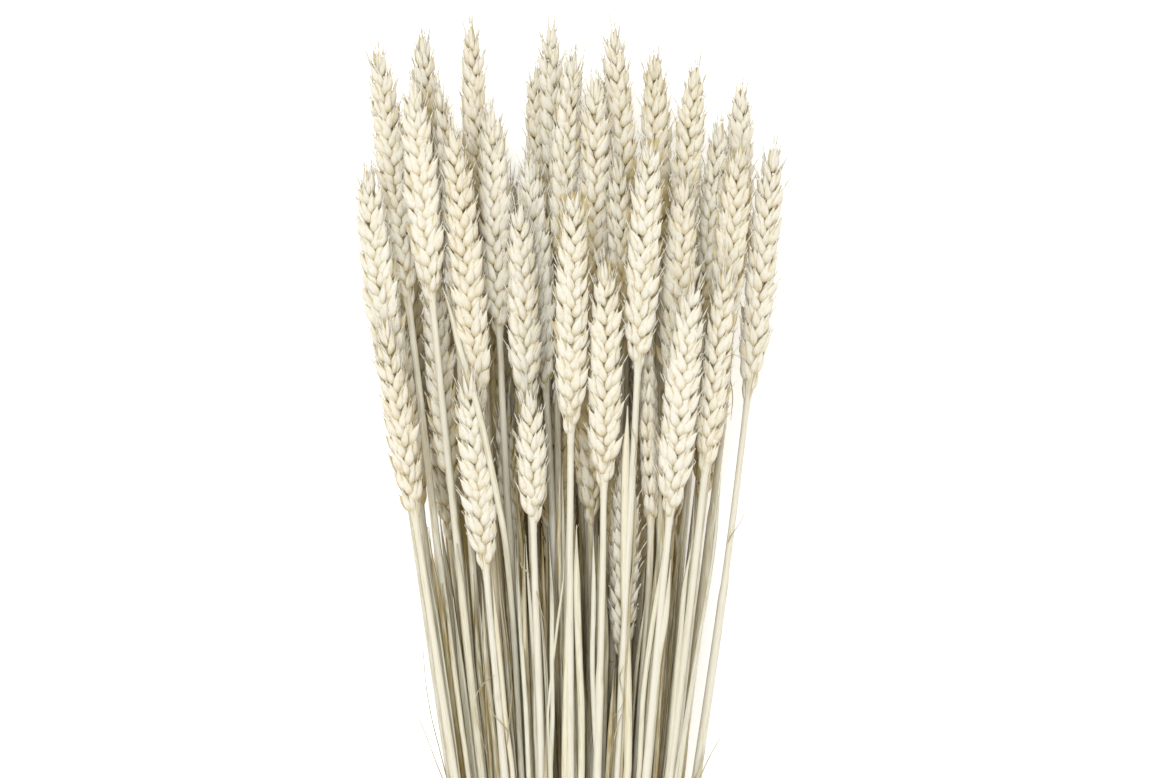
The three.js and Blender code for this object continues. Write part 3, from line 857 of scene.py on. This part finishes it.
strips = Growth()
for width, places in STRIPS:
    line, low, top = leaf_course(places)
    heights = np.arange(low - rng.uniform(*STRIP_TAIL), top, LEAF_RING_STEP)
    path = line(np.maximum(heights, low))
    path[:, 1] = heights
    path[:, 0] *= np.interp(heights, [WAIST_Y, low], [WAIST_SHARE, 1])
    share = (heights - heights[0]) / (top - heights[0])
    lie_in_front(path, STRIP_LIFT)
    folds = np.full(len(path), rng.uniform(*STRIP_FOLDS))
    widths = tapered(width * folds, share, *STRIP_FOOT, 1 - STRIP_TAPER / (top - heights[0]))
    turns = rng.normal(0, 0.15) + 0.2 * np.sin(heights / 31 + rng.uniform(0, 6))
    hue = rng.normal(0, LEAF_TONES)
    shade = rng.uniform(*STRIP_SHADES)
    add_leaf(strips, path, widths, folds, turns, hue, shade, rng)
piece = strips.piece("front_leaf_strips", [LEAF])
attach(piece, "root")

# The broad leaves at the back, which close the gaps between the stalks, given as the strips are.
# They are drawn deep, as painted shade in those gaps.
BACK_LEAVES = [
    (4.5, [(-11.2, 128), (-10.8, 105), (-10.2, 78), (-9.4, 40)]),
    (4.0, [(-18.2, 125), (-17.2, 106), (-16.2, 80), (-15, 40)]),
    (4.0, [(10.4, 128), (10.7, 105), (11, 77), (10.8, 40)]),
    (3.6, [(1.5, 135), (2.6, 113), (3.5, 95), (4, 60)]),
    (4.0, [(-42.8, 122), (-41, 105), (-39, 85), (-36, 50)]),
    (3.6, [(-48.2, 112), (-46.8, 95), (-45, 76), (-41, 40)]),
    (3.6, [(44.5, 122), (43, 105), (41, 85), (37.5, 50)]),
    (3.6, [(34, 118), (33, 100), (31.5, 80), (28, 40)]),
    (3.2, [(26, 82), (24.6, 58), (24, 45), (22.5, 10)]),
]
BACK_LEVEL = 3.0
# Painted shade: the back leaves are all drawn deep.
BACK_SHADE = 0.55
BACK_FOLDS = (0.9, 1.3)
BACK_TAPER = (0.1, 0.15, 0.8)

backs = Growth()
for width, places in BACK_LEAVES:
    line, low, top = leaf_course(places)
    heights = np.arange(low, top, LEAF_RING_STEP)
    share = (heights - heights[0]) / (heights[-1] - heights[0])
    path = line(heights)
    path[:, 1] = heights
    path[:, 2] = BACK_LEVEL + 0.5 * np.sin(heights / 19 + rng.uniform(0, 6))
    folds = np.full(len(path), rng.uniform(*BACK_FOLDS))
    widths = tapered(width * folds, share, *BACK_TAPER)
    turns = np.full(len(path), rng.normal(0, 0.2))
    add_leaf(backs, path, widths, folds, turns, rng.normal(0, LEAF_TONES), BACK_SHADE, rng)
piece = backs.piece("back_leaves", [LEAF])
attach(piece, "root")

# The rolled blades, in six pieces: the heights they lie between, the level at which neighbours are
# found and how far apart those stand, the room that blades and stalks take up, how far the ears
# keep them off, and how far to the right they reach.
BLADE_PIECES = 6
BLADE_COUNT = 150
BLADE_LOW = -172.0
BLADE_TOP = 160.0
BLADE_LEVEL = 30.0
BLADE_REACH = (4.0, 10.5)
BLADE_SPACING = 2.3
STALK_ROOM = 2.2
BLADE_MARGIN = 1.3
BELOW_EAR = 3
EAR_CLEARANCE = 6.5
BLADE_EDGE = 42.0
BLADE_FOLDS = (1.5, 2.7)
BLADE_TAPER = (0.08, 0.06, 0.85)

# How a blade runs: over what length it parts from its stalk, how far it sways and how long its
# waves are, how far its end rises or sinks, how slim its roll may be, and how far it turns.
BLADE_PARTS = 35
BLADE_SWAY = (0.2, 0.9)
BLADE_WAVE = (18, 40)
BLADE_END = (-1.5, 2.0)
SLIMMEST_ROLL = 0.5
BLADE_TURN = 2

# Each starts at one of the lowest rings and has at least so many. Then, from and to: how high it
# reaches at most, how wide its roll is at most, and its shade.
START_RINGS = 20
FEWEST_RINGS = 20
FRONT_BLADES = ((40, 155), (0.8, 1.5), (-0.6, 0.1))
INNER_BLADES = ((-40, 155), (0.8, 2.0), (-0.4, 0.4))

# A stalk is at the front where none that is so close to it lies so much higher.
COVER_REACH = 2.6
COVER_HEIGHT = 2

levels = np.arange(BLADE_LOW, BLADE_TOP, LEAF_RING_STEP)
courses = {name: runs[name][0](levels) for name in STALKS}
reached = {name: levels > runs[name][2] - BELOW_EAR for name in STALKS}
level = int(np.searchsorted(levels, BLADE_LEVEL))
middles = {name: courses[name][level] for name in STALKS}


def clear_run(path, start):
    """How many of a blade's points lie clear of the ears, from its foot upwards."""
    free = len(path)
    for name in STALKS:
        there = slice(start, start + len(path))
        apart = path - courses[name][there]
        if name in OPENED:
            apart[:, 2] = 0
        blocked = (np.linalg.norm(apart, axis=1) < EAR_CLEARANCE) & reached[name][there]
        if blocked.any():
            free = min(free, int(np.argmax(blocked)))
    return free


def lay_blade(blades, one, two, splits, top, widest, shade, rng):
    """Lays a rolled blade between two stalks, up to a height or to the first ear it would meet."""
    start = rng.integers(0, START_RINGS)
    stop = int(np.searchsorted(levels, min(top, runs[one][2], runs[two][2])))
    heights = levels[start:stop]
    if len(heights) < FEWEST_RINGS:
        return False
    share = (heights - heights[0]) / (heights[-1] - heights[0])
    away = rise(0, BLADE_PARTS, heights - heights[0])
    split = splits[0] + (splits[1] - splits[0]) * share
    between = courses[two][start:stop] - courses[one][start:stop]
    path = courses[one][start:stop] + between * (split * away)[:, None]
    sway = rng.uniform(*BLADE_SWAY)
    path[:, 0] += sway * np.sin(heights / rng.uniform(*BLADE_WAVE) + rng.uniform(0, 6)) * away
    path[:, 2] += rise(0.7, 1, share) * rng.uniform(*BLADE_END)
    free = clear_run(path, start)
    if free < FEWEST_RINGS:
        return False
    path, split, between = path[:free], split[:free], between[:free]
    share = share[:free] / share[free - 1]
    room = np.linalg.norm(between, axis=1) * np.minimum(split, 1 - split) - BLADE_MARGIN
    room = np.clip(room, SLIMMEST_ROLL, widest)
    folds = np.full(free, rng.uniform(*BLADE_FOLDS))
    widths = tapered(2 * folds * room, share, *BLADE_TAPER)
    turns = rng.uniform(0, 6) + share * rng.uniform(-BLADE_TURN, BLADE_TURN)
    add_leaf(rng.choice(blades), path, widths, folds, turns, rng.normal(0, LEAF_TONES), shade, rng)
    return True


def across_the_bunch(name):
    """Where a stalk stands across the bunch."""
    return middles[name][0]


def is_covered(name):
    """Whether another stalk lies above this one, close by."""
    return any(
        abs(middles[other][0] - middles[name][0]) < COVER_REACH
        and middles[other][2] > middles[name][2] + COVER_HEIGHT
        for other in STALKS
    )


blades = [Growth() for _ in range(BLADE_PIECES)]
# First the front of the bunch, where blades fill what the stalks leave open, then its inside.
front = [name for name in STALKS if not is_covered(name)]
front.sort(key=across_the_bunch)
for one, two in zip(front, front[1:]):
    gap = np.linalg.norm(middles[two] - middles[one])
    count = int((gap - STALK_ROOM) / BLADE_SPACING) if middles[two][0] < BLADE_EDGE else 0
    for number in range(count):
        split = (number + 1) / (count + 1)
        splits = np.clip(split + rng.uniform(-0.15, 0.15, 2), 0.15, 0.85)
        top, widest, shade = (rng.uniform(*span) for span in FRONT_BLADES)
        lay_blade(blades, one, two, splits, top, widest, shade, rng)
laid = 0
for one in rng.permutation(STALKS * 8):
    near = [
        other for other in STALKS
        if BLADE_REACH[0] < np.linalg.norm(middles[other] - middles[one]) < BLADE_REACH[1]
        and max(middles[one][0], middles[other][0]) < BLADE_EDGE
    ]
    if near and laid < BLADE_COUNT:
        two = near[rng.integers(len(near))]
        splits = rng.uniform(0.3, 0.7, 2)
        top, widest, shade = (rng.uniform(*span) for span in INNER_BLADES)
        laid += lay_blade(blades, one, two, splits, top, widest, shade, rng)
for k, blade in enumerate(blades):
    piece = blade.piece(f"rolled_leaves_{k + 1}", [LEAF])
    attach(piece, "root")

# ---- The loose hairs and fibres ---------------------------------------------------------------
# Fine bristles that broke off, and curled shreds of straw skin. They are caught between the
# stalks, each held at its first point, which lies on a stalk.
HAIR_SIDES = 5
HAIR_STEP = 1.2
HAIR_LIFT = 0.8
HAIR_BLUSH = 0.35

# The thickness of each at its root and the places that it passes, across and along the bunch.
HAIRS = [
    (0.4, [(4.5, 268), (5, 278), (6.3, 286), (9.8, 292.3), (11.5, 298.4), (14.6, 300.2), (15.5, 297)]),
    (0.5, [(-28.3, 44.7), (-31.3, 42.8), (-33, 41), (-35.2, 37.5), (-36, 34), (-35.8, 30),
           (-34.7, 25.6), (-31.3, 14.6)]),
    (0.7, [(-23.6, 18), (-23.9, 24), (-26, 26.6), (-29, 30), (-30.4, 33.8)]),
    (0.6, [(-23.8, 20), (-22.8, 28), (-22, 36), (-21.8, 42)]),
    (0.5, [(-22.3, 15), (-22.8, 21), (-22, 23.4), (-21.2, 24.6)]),
    (0.6, [(20.8, 48), (19.3, 44.8), (19.6, 41), (20.4, 37.7), (20.4, 33.8), (18.5, 30.5), (16.6, 28.6)]),
    (0.7, [(16.9, 17), (17.4, 21), (18.7, 26.2), (20, 30)]),
    (0.5, [(15, 50), (16.4, 48.8), (17.4, 49.2)]),
    (0.8, [(-15, 83), (-16.6, 85), (-18, 86), (-18.6, 88)]),
    (0.5, [(-12.4, 77), (-11, 71), (-9.5, 66)]),
    (0.6, [(47, -6), (50, 3), (54, 12), (58.5, 20)]),
    (0.5, [(61, 94.5), (62.6, 98), (64.9, 101), (67.9, 106.6)]),
    (0.5, [(62.2, 158), (63.1, 151.7), (62.4, 142)]),
    (0.4, [(58, 163), (60, 166), (63.1, 167.1), (65.7, 165.6), (66.4, 163.4)]),
    (0.5, [(-46, 0), (-49.5, 14), (-53, 28), (-55, 40), (-56.2, 54)]),
    (0.5, [(-45.3, -4), (-51, 10), (-55.5, 22), (-59.5, 31)]),
    (0.5, [(-45.6, 255.5), (-46.9, 257.5), (-46.6, 261), (-44.7, 263.8)]),
    (0.5, [(-38, 193), (-36, 195.4), (-34, 197.5), (-32.3, 195.5), (-31, 193)]),
    (0.5, [(-50, 133), (-52.2, 140.2), (-54.4, 143)]),
    (0.5, [(24, 139), (25.6, 133), (25, 126), (26, 120)]),
    (0.5, [(45, 190), (46.4, 197), (45.6, 204)]),
]


def reach_along(points):
    """How far along their path each of the points lies."""
    return np.concatenate([[0], np.cumsum(np.linalg.norm(np.diff(points, axis=0), axis=1))])


def smooth_path(points, step):
    """Points a small step apart on a curve through a few given ones."""
    points = np.array(points, float)
    reach = reach_along(points)
    curve = smooth_line(reach, points[:, [0, 2]])
    other = smooth_line(reach, points[:, [1, 1]])
    places = np.linspace(0, reach[-1], max(4, round(reach[-1] / step)))
    path = curve(places)
    path[:, 1] = other(places)[:, 0]
    return path


def add_strand(growth, path, radii, sides, blush, hue, rng):
    """Adds a round hair or fibre along a path."""
    points, angle = tube(path, radii, sides)
    girth = np.mean(radii)
    along = 0.1 * np.arange(len(path))[:, None]
    grain = triples(girth * np.cos(angle), along, girth * np.sin(angle))
    faces = ring_faces(len(path), sides)
    growth.add(points, faces, grain + rng.uniform(0, GRAIN_SHIFT, 3), blush, hue)


hairs = Growth()
for thickness, places in HAIRS:
    path = smooth_path([(x, y, 0) for x, y in places], HAIR_STEP)
    share = np.linspace(0, 1, len(path))
    heights = height_at(path, crest)
    path[:, 2] = heights[0] + (heights.max() + HAIR_LIFT - heights[0]) * rise(0, 0.4, share)
    # Each thins out to its tip, and more so at its root, where it broke off.
    radii = thickness / 2 * (1 - 0.6 * share) * (0.3 + 0.7 * rise(0, 0.12, share))
    add_strand(hairs, path, radii, HAIR_SIDES, HAIR_BLUSH, 0.0, rng)
piece = hairs.piece("loose_hairs", [LEAF])
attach(piece, "root")

# ---- The twine tie ----------------------------------------------------------------------------
# Natural two-ply twine, wound four times round the waist of the bunch and pulled tight before it
# was knotted on top. Its two cut ends fray.
TWINE_SEED = 5
TWINE_RADIUS = 0.98
TWINE_TURNS = 4
TWINE_PITCH = 1.95
TURN_POINTS = 72
TWINE_STEP = 0.6
PLY_RADIUS = 0.6
PLY_OFFSET = 0.42
PLY_LAY = 5.2
PLY_SIDES = 8
PLY_LINES = (1.4, 0.12)
PLY_BLUSH = 0.8
# How far the middle of the turns lies from the upper end of the solid, and how far the knot lies
# above the turns.
TIE_INSET = 4
KNOT_LIFT = 1.2

# The fibres that stand out at each cut end and along the sides, with their radii at root and tip.
END_FIBRES = 14
END_FIBRE_LENGTH = 7
END_FIBRE_RADII = (0.16, 0.05)
SIDE_FIBRES = 70
SIDE_FIBRE_LENGTH = 3.2
SIDE_FIBRE_RADII = (0.09, 0.04)
FIBRE_BLUSH = 0.9
FIBRE_TONE = 0.5

# The knot and the two ends, from the first turn to the tips: across, along and up from its top.
KNOT_LOW = [
    (0, -2.6, 0.9), (-1.6, 0.4, 1.6), (0.2, 2.2, 1.7),
    (2.0, 0.2, 2.4), (0.3, -1.7, 3.2), (-1.9, -0.4, 2.4),
]
KNOT_HIGH = [
    (0, 2.6, 0.9), (1.7, 0.6, 1.3), (-0.2, -2.0, 1.5),
    (-2.2, 0.2, 2.8), (0.2, 2.0, 3.1), (2.4, 0.6, 2.2),
]
END_LOW = [(-6, -3, 2.2), (-12, -8, 0.6), (-16, -15, -4.0)]
END_HIGH = [(6, -3, 2.4), (10, -11, 1.4), (13, -20, -2.2)]

tie_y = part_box("twine_tie")[1][1] / MM - TIE_INSET
waist = [runs[name][0](tie_y)[[0, 2]] for name in STALKS]
waist_radius = [np.interp(tie_y, runs[name][1:3], [BUTT_RADIUS, NECK_RADIUS]) for name in STALKS]


def round_the_waist(angle):
    """Where twine that is pulled tight lies at that angle round the bunch."""
    towards = np.array([np.cos(angle), np.sin(angle)])
    reach = [place @ towards + size for place, size in zip(waist, waist_radius)]
    furthest = int(np.argmax(reach))
    return waist[furthest] + towards * (waist_radius[furthest] + SHEATH_THICKNESS + TWINE_RADIUS)


angles = np.linspace(pi / 2, pi / 2 + 2 * pi * TWINE_TURNS, TURN_POINTS * TWINE_TURNS)
ring = np.array([round_the_waist(angle) for angle in angles])
for _ in range(3):
    ring[1:-1] = (ring[:-2] + 2 * ring[1:-1] + ring[2:]) / 4
start_y = tie_y - TWINE_PITCH * TWINE_TURNS / 2
along = start_y + TWINE_PITCH * TWINE_TURNS * np.linspace(0, 1, len(ring))
turns = triples(ring[:, 0], along, ring[:, 1])

# From one cut end through the knot, round the waist, and through the knot to the other cut end.
crown = turns[0] * [1, 0, 1] + [0, tie_y, KNOT_LIFT]
whole = np.vstack([
    np.array(END_LOW[::-1] + KNOT_LOW[::-1]) + crown,
    turns[3:-3:6],
    np.array(KNOT_HIGH + END_HIGH) + crown,
])
twine_path = smooth_path(whole, TWINE_STEP)
reach = reach_along(twine_path)
_, sideways, up = frames_along(twine_path)
twine = Growth()
for ply in (0, pi):
    wind = 2 * pi * reach / PLY_LAY + ply
    towards = np.cos(wind)[:, None] * sideways + np.sin(wind)[:, None] * up
    strand = twine_path + PLY_OFFSET * towards
    points, angle = tube(strand, PLY_RADIUS, PLY_SIDES)
    around, onwards = PLY_LINES
    grain = triples(around * np.cos(angle), onwards * reach[:, None], around * np.sin(angle))
    twine.add(points, ring_faces(len(strand), PLY_SIDES), grain, PLY_BLUSH, 0.0)

rng = np.random.default_rng(TWINE_SEED)
for end, before in ((0, 1), (-1, -2)):
    outward = unit(twine_path[end] - twine_path[before])
    for _ in range(END_FIBRES):
        way = unit(outward + rng.normal(0, 0.28, 3))
        bend = rng.normal(0, 1.2, 3)
        steps = np.linspace(-0.15, 1, 6)[:, None]
        path = twine_path[end] + (way * steps * END_FIBRE_LENGTH + bend * steps * steps)
        radii = np.linspace(*END_FIBRE_RADII, len(path))
        add_strand(twine, path, radii, 4, FIBRE_BLUSH, FIBRE_TONE, rng)
for place in rng.integers(10, len(twine_path) - 10, SIDE_FIBRES):
    way = unit(rng.normal(0, 1, 3))
    steps = TWINE_RADIUS * 0.6 + np.linspace(0, 1, 4) * SIDE_FIBRE_LENGTH
    path = twine_path[place] + steps[:, None] * way
    path += rng.normal(0, 0.25, path.shape)
    radii = np.linspace(*SIDE_FIBRE_RADII, len(path))
    add_strand(twine, path, radii, 3, FIBRE_BLUSH, FIBRE_TONE, rng)

TWINE = dry_finish(
    "natural_twine",
    deep=colour(124, 100, 66),
    pale=colour(194, 170, 130),
    warm=colour(255, 240, 218),
    cool=colour(246, 246, 240),
    roughness=0.8,
    fibre=3.2,
    streaks=0.6,
    bump=0.8,
)
piece = twine.piece("twine_wound", [TWINE])
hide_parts("twine_tie")
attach(piece, "root")

# ---- The stage --------------------------------------------------------------------------------
# A plain pale floor, which isn't part of the bundle, soft studio light, and a camera that looks
# straight down from far off. Lengths here are in metres and powers in watts.
FLOOR_HALF = 6.0
FLOOR_LEVEL = -0.0002
FLOOR_SKIN = {
    "Base Color": colour(252, 252, 252),
    "Roughness": 0.9,
    "Emission Color": colour(252, 252, 252),
    "Emission Strength": 0.3,
}
SKY = {"Color": (1.0, 0.955, 0.87, 1.0), "Strength": 0.9}
LAMP_COLOUR = (0.93, 0.975, 1.0)
LAMP_SIZE = 1.8
LAMPS = {"key": ((-0.55, 0.75, 2.7), 50.0), "fill": ((1.6, -0.6, 2.2), 6.0)}
LIT_PLACE = (0.0, 0.1, 0.0)
CAMERA_HEIGHT = 2.0
VIEW_CENTRE = (0.0057, 0.154)
VIEW_WIDTH = 0.449
MIDDLE_DEPTH = 0.035
SENSOR = 36.0

floor_corners = [
    (x * FLOOR_HALF, y * FLOOR_HALF, FLOOR_LEVEL) for x, y in ((-1, -1), (1, -1), (1, 1), (-1, 1))
]
floor_mesh = bpy.data.meshes.new("floor")
floor_mesh.from_pydata(floor_corners, [], [(0, 1, 2, 3)])
floor = bpy.data.objects.new("floor", floor_mesh)
bpy.context.scene.collection.objects.link(floor)
FLOOR = bpy.data.materials.new("floor_white")
FLOOR.use_nodes = True
for socket, value in FLOOR_SKIN.items():
    FLOOR.node_tree.nodes["Principled BSDF"].inputs[socket].default_value = value
floor_mesh.materials.append(FLOOR)

world = bpy.data.worlds.new("studio")
world.use_nodes = True
for socket, value in SKY.items():
    world.node_tree.nodes["Background"].inputs[socket].default_value = value
bpy.context.scene.world = world

for name, (place, power) in LAMPS.items():
    lamp = bpy.data.lights.new(name, "AREA")
    lamp.size = LAMP_SIZE
    lamp.energy = power
    lamp.color = LAMP_COLOUR
    light = bpy.data.objects.new(name, lamp)
    light.location = place
    bpy.context.scene.collection.objects.link(light)
    aim = np.array(LIT_PLACE) - place
    light.rotation_mode = "QUATERNION"
    light.rotation_quaternion = Vector(aim).to_track_quat("-Z", "Y")

lens = bpy.data.cameras.new("camera")
lens.sensor_width = SENSOR
lens.sensor_fit = "HORIZONTAL"
lens.lens = SENSOR * (CAMERA_HEIGHT - MIDDLE_DEPTH) / VIEW_WIDTH
lens.clip_end = 20
camera = bpy.data.objects.new("camera", lens)
camera.location = (*VIEW_CENTRE, CAMERA_HEIGHT)
bpy.context.scene.collection.objects.link(camera)
bpy.context.scene.camera = camera
bpy.context.scene.view_settings.view_transform = "Standard"
